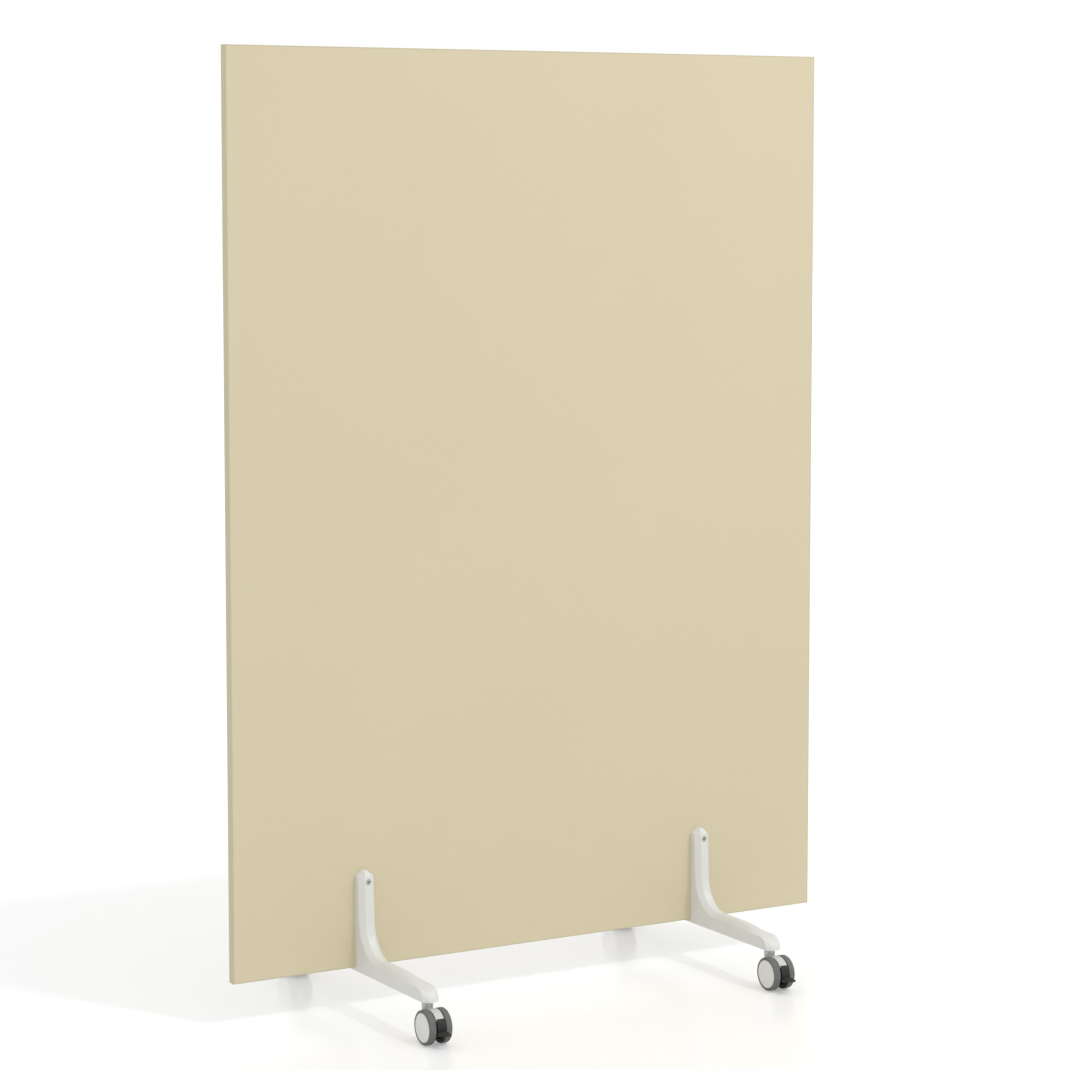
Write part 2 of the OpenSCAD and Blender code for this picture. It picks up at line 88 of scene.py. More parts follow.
def make_camera():
    data = bpy.data.cameras.new("camera")
    data.lens = CAMERA_LENS
    data.sensor_width = CAMERA_SENSOR
    data.shift_y = CAMERA_SHIFT_Y
    data.clip_end = CAMERA_CLIP_END
    camera = bpy.data.objects.new("camera", data)
    bpy.context.collection.objects.link(camera)
    camera.location = CAMERA_AT
    camera.rotation_euler = (math.pi / 2 - CAMERA_PITCH, 0, -CAMERA_YAW)
    bpy.context.scene.camera = camera


def make_lamp(name, kind, strength, at, target, size):
    """Lamp aimed at a point. size is a sun's angle, or the width of a round area lamp."""
    data = bpy.data.lights.new(name, kind)
    data.energy = strength
    if kind == "SUN":
        data.angle = size
    else:
        data.shape = "DISK"
        data.size = size
    lamp = bpy.data.objects.new(name, data)
    bpy.context.collection.objects.link(lamp)
    lamp.location = at
    lamp.rotation_euler = (Vector(target) - lamp.location).to_track_quat("-Z", "Y").to_euler()


def sees_directly(nodes, links):
    """1 for camera, glossy and transmission rays, and 0 for rays that only carry light."""
    path = nodes.new("ShaderNodeLightPath")
    seen = path.outputs["Is Camera Ray"]
    for ray in ("Is Glossy Ray", "Is Transmission Ray"):
        either = nodes.new("ShaderNodeMath")
        either.operation = "MAXIMUM"
        links.new(seen, either.inputs[0])
        links.new(path.outputs[ray], either.inputs[1])
        seen = either.outputs[0]
    return seen


def glow(nodes, kind, color, strength):
    """Background or emission node of a plain colour."""
    node = nodes.new(kind)
    node.inputs["Color"].default_value = color
    node.inputs["Strength"].default_value = strength
    return node


def show_mix(nodes, links, out, share, first, second):
    """Gives out's surface the first shader, with this share of the second."""
    mix = nodes.new("ShaderNodeMixShader")
    links.new(share, mix.inputs["Fac"])
    links.new(first.outputs[0], mix.inputs[1])
    links.new(second.outputs[0], mix.inputs[2])
    links.new(mix.outputs[0], out.inputs["Surface"])


def make_world():
    """Pale sky that lights the object, white where it is seen or reflected."""
    world = bpy.data.worlds.new("studio")
    bpy.context.scene.world = world
    world.use_nodes = True
    nodes, links = world.node_tree.nodes, world.node_tree.links
    nodes.clear()
    light = glow(nodes, "ShaderNodeBackground", WORLD_COLOR, WORLD_STRENGTH)
    white = glow(nodes, "ShaderNodeBackground", WHITE, 1)
    out = nodes.new("ShaderNodeOutputWorld")
    show_mix(nodes, links, out, sees_directly(nodes, links), light, white)


def make_floor():
    """Faintly glossy pale floor. It keeps the shadows, and white is mixed in where it is seen."""
    bpy.ops.mesh.primitive_plane_add(size=FLOOR_SIZE)
    floor = bpy.context.object
    floor.name = "floor"
    mat = bpy.data.materials.new("floor")
    mat.use_nodes = True
    nodes, links = mat.node_tree.nodes, mat.node_tree.links
    nodes.clear()
    paint = nodes.new("ShaderNodeBsdfPrincipled")
    paint.inputs["Base Color"].default_value = FLOOR_COLOR
    paint.inputs["Roughness"].default_value = FLOOR_ROUGHNESS
    paint.inputs["Specular IOR Level"].default_value = FLOOR_SPECULAR
    white = glow(nodes, "ShaderNodeEmission", WHITE, FLOOR_WHITE)
    share = nodes.new("ShaderNodeMath")
    share.operation = "MULTIPLY"
    share.inputs[1].default_value = 1 - FLOOR_SHADE
    links.new(sees_directly(nodes, links), share.inputs[0])
    out = nodes.new("ShaderNodeOutputMaterial")
    show_mix(nodes, links, out, share.outputs[0], paint, white)
    floor.data.materials.append(mat)


def make_studio():
    make_camera()
    make_world()
    make_floor()
    towards_sun = Vector((math.sin(SUN_AZIMUTH) * math.cos(SUN_ELEVATION),
                          -math.cos(SUN_AZIMUTH) * math.cos(SUN_ELEVATION),
                          math.sin(SUN_ELEVATION)))
    make_lamp("sun", "SUN", SUN_STRENGTH, towards_sun * SUN_DISTANCE, (0, 0, 0), SUN_ANGLE)
    make_lamp("softbox", "AREA", SOFTBOX_POWER, SOFTBOX_AT, SOFTBOX_TARGET, SOFTBOX_SIZE)
    bpy.context.scene.view_settings.view_transform = "Standard"


# ---------------------------------------------------------------- materials

TEXTURE_START = 0.3       # a texture's values run mostly from here
TEXTURE_END = 0.7         # to here


def srgb(red, green, blue):
    """Linear colour of a 0 to 255 screen colour."""
    def linear(value):
        value /= 255
        return value / 12.92 if value <= 0.04045 else ((value + 0.055) / 1.055) ** 2.4
    return (linear(red), linear(green), linear(blue), 1.0)


class Look:
    """One node material: a Principled shader whose textures run in the piece's own metres."""

    def __init__(self, name, color, roughness, metallic=0.0, specular=0.5):
        self.mat = bpy.data.materials.new(name)
        self.mat.use_nodes = True
        self.nodes, self.links = self.mat.node_tree.nodes, self.mat.node_tree.links
        self.shader = self.nodes["Principled BSDF"]
        self.shader.inputs["Base Color"].default_value = color
        self.shader.inputs["Roughness"].default_value = roughness
        self.shader.inputs["Metallic"].default_value = metallic
        self.shader.inputs["Specular IOR Level"].default_value = specular
        self.place = self.nodes.new("ShaderNodeTexCoord").outputs["Object"]
        self.normal = None

    def noise(self, size, stretch=(1, 1, 1), detail=2.0):
        """Noise from 0 to 1 with features of about this size in metres, drawn out by stretch."""
        scaled = self.nodes.new("ShaderNodeMapping")
        scaled.inputs["Scale"].default_value = [1 / (size * s) for s in stretch]
        self.links.new(self.place, scaled.inputs["Vector"])
        tex = self.nodes.new("ShaderNodeTexNoise")
        tex.inputs["Scale"].default_value = 1.0
        tex.inputs["Detail"].default_value = detail
        self.links.new(scaled.outputs[0], tex.inputs["Vector"])
        return tex.outputs["Fac"]

    def chips(self, size):
        """Cells about this far apart in metres, with a colour and a distance to the middle each."""
        tex = self.nodes.new("ShaderNodeTexVoronoi")
        tex.inputs["Scale"].default_value = 1 / size
        self.links.new(self.place, tex.inputs["Vector"])
        return tex.outputs

    def spread(self, value, low, high):
        """Maps a texture's usual values onto low to high."""
        ranged = self.nodes.new("ShaderNodeMapRange")
        ranged.inputs["From Min"].default_value = TEXTURE_START
        ranged.inputs["From Max"].default_value = TEXTURE_END
        ranged.inputs["To Min"].default_value = low
        ranged.inputs["To Max"].default_value = high
        self.links.new(value, ranged.inputs["Value"])
        return ranged.outputs["Result"]

    def tint(self, value, low, high):
        """Multiplies the colour by low to high as a texture goes from dark to light."""
        color = self.shader.inputs["Base Color"]
        mix = self.nodes.new("ShaderNodeMix")
        mix.data_type = "RGBA"
        mix.blend_type = "MULTIPLY"
        mix.inputs["Factor"].default_value = 1.0
        if color.is_linked:
            self.links.new(color.links[0].from_socket, mix.inputs["A"])
        else:
            mix.inputs["A"].default_value = color.default_value
        self.links.new(self.spread(value, low, high), mix.inputs["B"])
        self.links.new(mix.outputs["Result"], color)

    def vary_roughness(self, value, low, high):
        self.links.new(self.spread(value, low, high), self.shader.inputs["Roughness"])

    def bump(self, value, depth):
        """Raises the surface by up to depth metres, on top of the bumps that it has."""
        node = self.nodes.new("ShaderNodeBump")
        node.inputs["Distance"].default_value = depth
        self.links.new(value, node.inputs["Height"])
        if self.normal:
            self.links.new(self.normal, node.inputs["Normal"])
        self.normal = node.outputs["Normal"]
        self.links.new(self.normal, self.shader.inputs["Normal"])


def laminate_look():
    """Printed plastic sheet: faint clouds and a fine print, a fine grain and slight waviness."""
    look = Look("laminate", srgb(217, 205, 173), roughness=0.46, specular=0.4)
    look.tint(look.noise(size=0.35, detail=3), low=0.992, high=1.008)
    look.tint(look.noise(size=0.0016), low=0.985, high=1.012)
    look.vary_roughness(look.noise(size=0.03, detail=4), low=0.42, high=0.50)
    look.bump(look.noise(size=0.0009), depth=0.00003)
    look.bump(look.noise(size=0.14, detail=1), depth=0.0003)
    return look.mat


def band_look():
    """Plastic edge band with fine streaks along Z."""
    look = Look("edge_band", srgb(202, 193, 161), roughness=0.5, specular=0.4)
    look.tint(look.noise(size=0.004, stretch=(1, 1, 12)), low=0.97, high=1.02)
    look.bump(look.noise(size=0.0008, stretch=(1, 1, 10)), depth=0.00004)
    return look.mat


def core_look():
    """Particle board: pressed chips."""
    look = Look("particle_board", srgb(186, 152, 104), roughness=0.85)
    look.tint(look.chips(size=0.004)["Color"], low=0.7, high=1.15)
    look.bump(look.chips(size=0.004)["Distance"], depth=0.0003)
    return look.mat


def powder_coat_look():
    """Baked paint with a slight orange peel."""
    look = Look("powder_coat", srgb(226, 226, 223), roughness=0.38)
    look.tint(look.noise(size=0.05, detail=3), low=0.985, high=1.01)
    look.vary_roughness(look.noise(size=0.012, detail=3), low=0.33, high=0.45)
    look.bump(look.noise(size=0.0018), depth=0.00013)
    look.bump(look.noise(size=0.0006, detail=1), depth=0.00002)
    return look.mat


def steel_look(name, color, roughness, grain=(1, 1, 1)):
    """Plain metal, its fine marks drawn out by grain."""
    look = Look(name, color, roughness, metallic=1.0)
    look.tint(look.noise(size=0.0015, stretch=grain, detail=3), low=0.94, high=1.05)
    look.vary_roughness(look.noise(size=0.0006, stretch=grain),
                        low=roughness * 0.8, high=roughness * 1.3)
    look.bump(look.noise(size=0.0003, stretch=grain), depth=0.00001)
    return look.mat


def moulded_look(name, color, roughness, grain=0.0005):
    """Moulded plastic, its spark-eroded surface of about this grain in metres."""
    look = Look(name, color, roughness, specular=0.45)
    look.tint(look.noise(size=0.02, detail=3), low=0.975, high=1.02)
    look.vary_roughness(look.noise(size=0.004, detail=3),
                        low=roughness * 0.88, high=roughness * 1.12)
    look.bump(look.noise(size=grain), depth=0.00002)
    return look.mat


def tyre_look():
    """Grey rubber, slightly dusty."""
    look = Look("tyre", srgb(109, 109, 108), roughness=0.62, specular=0.4)
    look.tint(look.noise(size=0.006, detail=4), low=0.93, high=1.06)
    look.vary_roughness(look.noise(size=0.003, detail=3), low=0.55, high=0.72)
    look.bump(look.noise(size=0.0007, detail=3), depth=0.00008)
    return look.mat


LOOKS = {
    "laminate": laminate_look(),
    "edge_band": band_look(),
    "core": core_look(),
    "foot_paint": powder_coat_look(),
    "bolt_steel": steel_look("bolt_steel", (0.54, 0.54, 0.53, 1), roughness=0.42),
    "plated_steel": steel_look("plated_steel", (0.54, 0.55, 0.545, 1), roughness=0.48,
                               grain=(20, 20, 1)),
    "spring_steel": steel_look("spring_steel", (0.30, 0.30, 0.32, 1), roughness=0.40),
    "nylon": moulded_look("nylon", srgb(224, 222, 212), roughness=0.45),
    "caster_plastic": moulded_look("caster_plastic", srgb(206, 207, 203), roughness=0.42),
    "hub_plastic": moulded_look("hub_plastic", srgb(229, 228, 226), roughness=0.42),
    "tyre_rubber": tyre_look(),
    "pedal_plastic": moulded_look("pedal_plastic", srgb(34, 34, 33), roughness=0.58, grain=0.0007),
}


def dress_cad_nodes():
    for node, piece in frame["nodes"].items():
        for slot in piece.material_slots:
            slot.material = LOOKS[SLOT_OF[node]]


# ---------------------------------------------------------------- mesh helpers

TOUCHING = 1e-7           # points nearer than this to each other, or to the axis, are one
WELD_GAP = 2e-6           # the same after a boolean, which leaves near-double points
SOFTEN_ANGLE = math.radians(40)
SOFTEN_SEGMENTS = 2
SHADE_ANGLE = 32          # degrees

# Radii of the small rounded edges, from crisp to soft.
CRISP_R = 0.2 * MM
FINE_R = 0.3 * MM
LIGHT_R = 0.4 * MM
EASED_R = 0.6 * MM
SOFT_R = 0.8 * MM

OVERSHOOT = 1 * MM        # how far a cut reaches past the face that it opens


def rounded(corners, steps=4):
    """Points of a closed outline, from corners given as (x, y, radius)."""
    points = []
    for i, (x, y, radius) in enumerate(corners):
        here = Vector((x, y))
        if radius <= 0:
            points.append(here)
            continue
        back = (Vector(corners[i - 1][:2]) - here).normalized()
        onward = (Vector(corners[(i + 1) % len(corners)][:2]) - here).normalized()
        half = back.angle(onward) / 2
        centre = here + (back + onward).normalized() * (radius / math.sin(half))
        first = here + back * (radius / math.tan(half)) - centre
        last = here + onward * (radius / math.tan(half)) - centre
        start = math.atan2(first.y, first.x)
        sweep = (math.atan2(last.y, last.x) - start + math.pi) % (2 * math.pi) - math.pi
        for k in range(steps + 1):
            angle = start + sweep * k / steps
            points.append(centre + radius * Vector((math.cos(angle), math.sin(angle))))
    return points


def arc(centre, radius, start, end, steps):
    """Points of an arc in degrees, both ends included."""
    angles = [math.radians(start + (end - start) * k / steps) for k in range(steps + 1)]
    return [Vector(centre) + radius * Vector((math.cos(a), math.sin(a))) for a in angles]


def weld(obj, gap, outwards=False):
    """Merges points nearer to each other than the gap, and may turn the faces outwards."""
    work = bmesh.new()
    work.from_mesh(obj.data)
    bmesh.ops.remove_doubles(work, verts=work.verts, dist=gap)
    if outwards:
        bmesh.ops.recalc_face_normals(work, faces=work.faces)
    work.to_mesh(obj.data)
    work.free()


def solid(name, points, faces):
    """Object of a closed mesh with its faces turned outwards."""
    mesh = bpy.data.meshes.new(name)
    mesh.from_pydata([tuple(p) for p in points], [], faces)
    mesh.validate()
    obj = bpy.data.objects.new(name, mesh)
    bpy.context.collection.objects.link(obj)
    weld(obj, TOUCHING, outwards=True)
    return obj


def turned(name, outline, segments=96, axis="X"):
    """Solid of revolution from (along, radius) points. An outline that starts and ends on the
    axis is closed there; any other is closed from its last point to its first."""
    points, rings = [], []
    for along, radius in outline:
        count = 1 if radius < TOUCHING else segments
        rings.append(list(range(len(points), len(points) + count)))
        for k in range(count):
            angle = 2 * math.pi * k / segments
            points.append((along, radius * math.cos(angle), radius * math.sin(angle)))
    faces = []
    pairs = list(zip(rings, rings[1:]))
    if len(rings[0]) > 1:
        pairs.append((rings[-1], rings[0]))
    for one, two in pairs:
        for k in range(segments):
            a, b = one[k % len(one)], one[(k + 1) % len(one)]
            c, d = two[(k + 1) % len(two)], two[k % len(two)]
            face = [v for i, v in enumerate((a, b, c, d)) if v not in (a, b, c, d)[:i]]
            if len(face) > 2:
                faces.append(face)
    obj = solid(name, points, faces)
    if axis == "Y":
        obj.data.transform(Matrix.Rotation(math.pi / 2, 4, "Z"))
    elif axis == "Z":
        obj.data.transform(Matrix.Rotation(-math.pi / 2, 4, "Y"))
    return obj


def loft(name, rings, edge=0.0):
    """Closed skin through rings of as many points each, its sharp edges rounded by edge."""
    n = len(rings[0])
    points = [p for ring in rings for p in ring]
    last = (len(rings) - 1) * n
    faces = [(k + i, k + (i + 1) % n, k + n + (i + 1) % n, k + n + i)
             for k in range(0, last, n) for i in range(n)]
    obj = solid(name, points, faces + [tuple(range(n)), tuple(range(last, last + n))])
    if edge:
        soften(obj, edge)
    return obj


def plate(name, outline, low_x, high_x, edge=0.0):
    """Outline in (y, z) given a thickness from low_x to high_x, its edges rounded by edge."""
    return loft(name, [[(x, p[0], p[1]) for p in outline] for x in (low_x, high_x)], edge)


def settle(obj):
    """Keeps what the modifiers make of the object as its own mesh."""
    graph = bpy.context.evaluated_depsgraph_get()
    made = bpy.data.meshes.new_from_object(obj.evaluated_get(graph))
    old = obj.data
    obj.modifiers.clear()
    obj.data = made
    bpy.data.meshes.remove(old)


def soften(obj, width):
    """Rounds the object's sharp edges."""
    bevel = obj.modifiers.new("bevel", "BEVEL")
    bevel.width = width
    bevel.segments = SOFTEN_SEGMENTS
    bevel.limit_method = "ANGLE"
    bevel.angle_limit = SOFTEN_ANGLE
    settle(obj)


def drop(obj):
    """Removes an object, and its mesh where nothing else uses it."""
    mesh = obj.data
    bpy.data.objects.remove(obj)
    if not mesh.users:
        bpy.data.meshes.remove(mesh)


def combine(obj, others, operation):
    """Boolean of the object with each of the others, which are used up."""
    for other in others:
        cut = obj.modifiers.new("cut", "BOOLEAN")
        cut.operation = operation
        cut.solver = "EXACT"
        cut.object = other
        settle(obj)
        weld(obj, WELD_GAP)
        drop(other)
    return obj


def shade(obj, angle=SHADE_ANGLE):
    """Smooth shading with creases sharper than angle degrees, flats kept flat."""
    obj.data.shade_smooth()
    obj.data.set_sharp_from_angle(angle=math.radians(angle))
    weigh = obj.modifiers.new("normals", "WEIGHTED_NORMAL")
    weigh.keep_sharp = True
    return obj


def finish_piece(obj, slot, body, node):
    """Gives a piece its material and the body it rides on, and hides the CAD node that it stands for."""
    obj.data.materials.clear()
    obj.data.materials.append(LOOKS[slot])
    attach(obj, body)
    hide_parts(node)


def copy_of(obj, name, place):
    """Another object on the same mesh, with its modifiers, at the place given."""
    twin = obj.copy()
    twin.name = name
    bpy.context.collection.objects.link(twin)
    twin.matrix_world = place
    return twin


def both_ways(near, far):
    """The stretch of X between two distances, to the left and to the right, as (low, high)."""
    return [sorted((sign * near, sign * far)) for sign in SIDES.values()]


# ---------------------------------------------------------------- board

BAND_EDGE_R = 0.7 * MM


def edge_strip(name, low, high, outer):
    """Band on one edge of the board, its two outer corners eased. outer gives its axis and side."""
    axis, side = outer
    far, near = (high[axis], low[axis]) if side > 0 else (low[axis], high[axis])
    section = rounded([(near, low.y, 0), (far, low.y, BAND_EDGE_R),
                       (far, high.y, BAND_EDGE_R), (near, high.y, 0)])
    if axis == 0:
        rings = [[(p.x, p.y, z) for p in section] for z in (low.z, high.z)]
    else:
        rings = [[(x, p.y, p.x) for p in section] for x in (low.x, high.x)]
    return shade(loft(name, rings))


def make_edge_bands():
    for name, outer in {"left": (0, -1), "right": (0, 1), "bottom": (2, -1), "top": (2, 1)}.items():
        piece = edge_strip(f"{name}_edge_strip", *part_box(f"{name}_edge_band"), outer)
        finish_piece(piece, "edge_band", "frame", f"{name}_edge_band")


# ---------------------------------------------------------------- feet

foot_low, foot_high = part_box("left_foot")
FOOT_W = foot_high.x - foot_low.x
FOOT_Z = foot_low.z
FACE_Y = -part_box("front_laminate")[0].y
ARM_H = foot_high.z - foot_low.z
BAR_REACH = foot_high.y - FACE_Y
SADDLE_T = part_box("bottom_edge_band")[0].z - FOOT_Z
STEM_Y = JOINTS["rear_left_swivel"]["pos_m"][1]
ARM_T = 20 * MM
ARM_ROOT_T = 23 * MM
ROOT_R = 60 * MM
BAR_H = 32 * MM
CROWN_START = 130 * MM
CROWN_R = 500 * MM
SHOULDER_CROWN_R = 4000 * MM
NOSE_R = 27 * MM
SHOULDER_NOSE_R = 20 * MM
BEVEL = 9 * MM
EDGE_R = 3 * MM
BAR_EDGE_R = 6.5 * MM
NOSE_STEPS = 18
CROWN_STEPS = 12
ROOT_STEPS = 24
TOP_POINTS = 3            # points of an outline past its root: the arm's top
SHOULDER_CUT = 3 * MM
TOP_TAPER = 0.5           # how far the crest narrows on the top of the arm
FOOT_SHADE_ANGLE = 30     # degrees
BOLT_UP = 160 * MM
BOLT_Z = FOOT_Z + BOLT_UP
RECESS_R = 5.3 * MM
RECESS_DEPTH = 7.5 * MM
ARM_SLOPE = (ARM_ROOT_T - ARM_T) / (ARM_H - BAR_H - ROOT_R)
SEAT_Y = FACE_Y + ARM_T + (ARM_H - BOLT_UP) * ARM_SLOPE - RECESS_DEPTH
BOLT_HOLE_R = 4.55 * MM
HOLE_SEGMENTS = 48
STUD_R = 5 * MM
STUD_HOLE_DEPTH = 15.5 * MM
BAR_CELLS = 4
BAR_WALL = 4 * MM
BAR_ROOF = 10 * MM
ROOF_STEPS = 8
RIB_T = 3 * MM


def half_outline(inset, fall_r, tip_r):
    """Outline of one side of a foot in (y, z) from the face of the board and the underside:
    from the foot of the nose, back along the bar and up the arm to its inner top."""
    top = BAR_H - inset
    tip = BAR_REACH - inset
    tip_out = tip - tip_r
    reach = fall_r - tip_r
    crown = Vector((CROWN_START, top - fall_r))
    nose = Vector((tip_out, crown.y + math.sqrt(reach ** 2 - (tip_out - CROWN_START) ** 2)))
    low = math.degrees(math.asin(-nose.y / tip_r))
    high = math.degrees(math.atan2(nose.y - crown.y, tip_out - CROWN_START))
    root_r = ROOT_R + inset
    root = Vector((ARM_ROOT_T - inset + root_r, top + root_r))
    arm_cut = SHOULDER_CUT if inset else BEVEL
    return (arc(nose, tip_r, low, high, NOSE_STEPS) + arc(crown, fall_r, high, 90, CROWN_STEPS)[1:]
            + arc(root, root_r, 270, 180 + math.degrees(math.atan(ARM_SLOPE)), ROOT_STEPS)
            + [Vector((ARM_T - inset, ARM_H - inset - arm_cut)),
               Vector((ARM_T - inset - arm_cut, ARM_H - inset)),
               Vector((0, ARM_H - inset))])


def foot_edges():
    """Radius of the long edges at each point of an outline and at the saddle: soft on the bar,
    crisper towards the nose and up the arm."""
    more = BAR_EDGE_R - EDGE_R
    along_bar = [EDGE_R + more * k / CROWN_STEPS for k in range(1, CROWN_STEPS + 1)]
    up_arm = [BAR_EDGE_R - more * k / ROOT_STEPS for k in range(ROOT_STEPS + 1)]
    return [EDGE_R] * (NOSE_STEPS + 1) + along_bar + up_arm + [EDGE_R] * (TOP_POINTS + 1)


def across_foot(radius):
    """Section of the foot as (x, inset), with its four long edges rounded."""
    edge = FOOT_W / 2
    corners = [(-edge, 2 * BEVEL, 0), (-edge, BEVEL, radius), (BEVEL - edge, 0, radius),
               (edge - BEVEL, 0, radius), (edge, BEVEL, radius), (edge, 2 * BEVEL, 0)]
    return rounded(corners)[1:-1]


def cast_foot():
    """A foot whose middle is at x = 0."""
    crest = half_outline(0, CROWN_R, NOSE_R)
    shoulder = half_outline(BEVEL, SHOULDER_CROWN_R, SHOULDER_NOSE_R)
    saddle = Vector((0, SADDLE_T))
    rings = []
    for stations in zip(*[across_foot(radius) for radius in foot_edges()]):
        half = []
        for i, (x, inset) in enumerate(stations):
            at = crest[i].lerp(shoulder[i], inset / BEVEL) if i < len(crest) else saddle
            if i in (len(crest) - 2, len(crest) - 1):
                x *= 1 - TOP_TAPER * max(0.0, 1 - inset / BEVEL)
            half.append((x, FACE_Y + at.x, FOOT_Z + at.y))
        rings.append(half + [(x, -y, z) for x, y, z in reversed(half)])
    return combine(loft("cast_foot", rings), foot_cuts(), "DIFFERENCE")


def roof_height(out):
    """Height of the roof of the hollow cells, this far out from the face of the board."""
    level = BAR_H - BAR_ROOF
    root = ARM_ROOT_T + ROOT_R
    if out < root:
        under = ROOT_R + BAR_ROOF
        return min(BAR_H, level + under - math.sqrt(under ** 2 - (root - out) ** 2))
    fall = max(0.0, out - CROWN_START)
    return BAR_H - CROWN_R + math.sqrt((CROWN_R - BAR_ROOF) ** 2 - fall ** 2)


def foot_cuts():
    """The bolt's stepped hole, the studs' holes and the hollow cells of the underside."""
    past = SEAT_Y + RECESS_DEPTH + BEVEL
    bolt = turned("bolt_cut", [(-past, 0), (-past, RECESS_R), (-SEAT_Y, RECESS_R),
                               (-SEAT_Y, BOLT_HOLE_R), (SEAT_Y, BOLT_HOLE_R),
                               (SEAT_Y, RECESS_R), (past, RECESS_R), (past, 0)],
                  segments=HOLE_SEGMENTS, axis="Y")
    bolt.data.transform(Matrix.Translation((0, 0, BOLT_Z)))
    cuts = [bolt]
    near = FACE_Y + ARM_ROOT_T
    far = STEM_Y - STUD_R - 2 * BAR_WALL
    cell = (far - near - (BAR_CELLS - 1) * RIB_T) / BAR_CELLS
    half = FOOT_W / 2 - BAR_WALL
    for way in (-1, 1):
        stud = turned("stud_cut", [(-OVERSHOOT, 0), (-OVERSHOOT, STUD_R),
                                   (STUD_HOLE_DEPTH, STUD_R), (STUD_HOLE_DEPTH, 0)],
                      segments=HOLE_SEGMENTS, axis="Z")
        stud.data.transform(Matrix.Translation((0, way * STEM_Y, FOOT_Z)))
        cuts.append(stud)
        for i in range(BAR_CELLS):
            start = near + i * (cell + RIB_T)
            across = [start + cell * k / ROOF_STEPS for k in range(ROOF_STEPS + 1)]
            outline = ([(way * start, FOOT_Z - OVERSHOOT)]
                       + [(way * y, FOOT_Z + roof_height(y - FACE_Y)) for y in across]
                       + [(way * across[-1], FOOT_Z - OVERSHOOT)])
            cuts.append(plate("cell_cut", outline, -half, half))
    return cuts


def foot_middle(side):
    low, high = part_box(f"{side}_foot")
    return (low.x + high.x) / 2


def make_feet():
    foot = shade(cast_foot(), FOOT_SHADE_ANGLE)
    for side in SIDES:
        place = Matrix.Translation((foot_middle(side), 0, 0))
        piece = copy_of(foot, f"{side}_foot_casting", place)
        finish_piece(piece, "foot_paint", "frame", f"{side}_foot")
    drop(foot)


# ---------------------------------------------------------------- through bolts

HEAD_R = 5 * MM
HEAD_H = 6 * MM
SOCKET_R = 2.5 * MM / math.cos(math.radians(30))      # to the corners of a 5 mm hexagon
SOCKET_SIDES = 6
SOCKET_FLARE = 0.05 * MM
SOCKET_DEPTH = 3 * MM
SOCKET_POINT = 0.8 * MM
BOLT_SEGMENTS = 64
SCREW_R = 3 * MM
SCREW_CHAMFER = 0.5 * MM
SLEEVE_R = 4.25 * MM
SLEEVE_WALL_END = 1 * MM
SLEEVE_PLAY = 10 * MM


def socket_bolt(name, shank):
    """Head with a hexagon socket, seated at 0 and facing +Y, on a shank of (along, radius, edge)
    corners."""
    head = [(HEAD_H, 0, 0), (HEAD_H, HEAD_R, EASED_R), (0, HEAD_R, CRISP_R)]
    bolt = turned(name, rounded(head + shank), segments=BOLT_SEGMENTS)
    tip = HEAD_H - SOCKET_DEPTH
    past = HEAD_H + OVERSHOOT
    socket = turned("socket", [(tip - SOCKET_POINT, 0), (tip, SOCKET_R),
                               (past, SOCKET_R + SOCKET_FLARE), (past, 0)], SOCKET_SIDES)
    combine(bolt, [socket], "DIFFERENCE")
    bolt.data.transform(Matrix.Rotation(math.pi / 2, 4, "Z"))
    return shade(bolt)


def make_bolts():
    run = 2 * SEAT_Y - SLEEVE_PLAY
    screw = socket_bolt("screw", [(0, SCREW_R, FINE_R), (SCREW_CHAMFER - run, SCREW_R, FINE_R),
                                  (-run, SCREW_R - SCREW_CHAMFER, 0), (-run, 0, 0)])
    nut = socket_bolt("nut", [(0, SLEEVE_R, FINE_R), (-run, SLEEVE_R, FINE_R),
                              (-run, SCREW_R, CRISP_R), (-SLEEVE_WALL_END, SCREW_R, 0),
                              (-SLEEVE_WALL_END, 0, 0)])
    for side in SIDES:
        middle = foot_middle(side)
        front = copy_of(screw, f"{side}_bolt_screw",
                        Matrix.Translation((middle, -SEAT_Y, BOLT_Z)) @ HALF_TURN)
        rear = copy_of(nut, f"{side}_bolt_nut", Matrix.Translation((middle, SEAT_Y, BOLT_Z)))
        finish_piece(front, "bolt_steel", "frame", "through_screws")
        finish_piece(rear, "bolt_steel", "frame", "sleeve_nuts")
    drop(screw)
    drop(nut)


# ---------------------------------------------------------------- casters
# Each caster piece is made with the swivel axis on Z, the floor at z = 0 and the axle towards +Y.
# Points given as Vector((y, z)) are measured from the axle.

swivel = JOINTS["rear_left_swivel"]["pos_m"]
axle = JOINTS["rear_left_right_wheel_spin"]["pos_m"]
tyre_low, tyre_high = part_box("rear_left_right_tyre")
washer_low, washer_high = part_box("rear_left_thrust_washer")
AXLE_AT = Matrix.Translation((0, axle[1] - swivel[1], axle[2]))
STEP = 0.1 * MM           # between joined shapes, so that no two of their faces share a plane
BORE_PLAY = 0.05 * MM

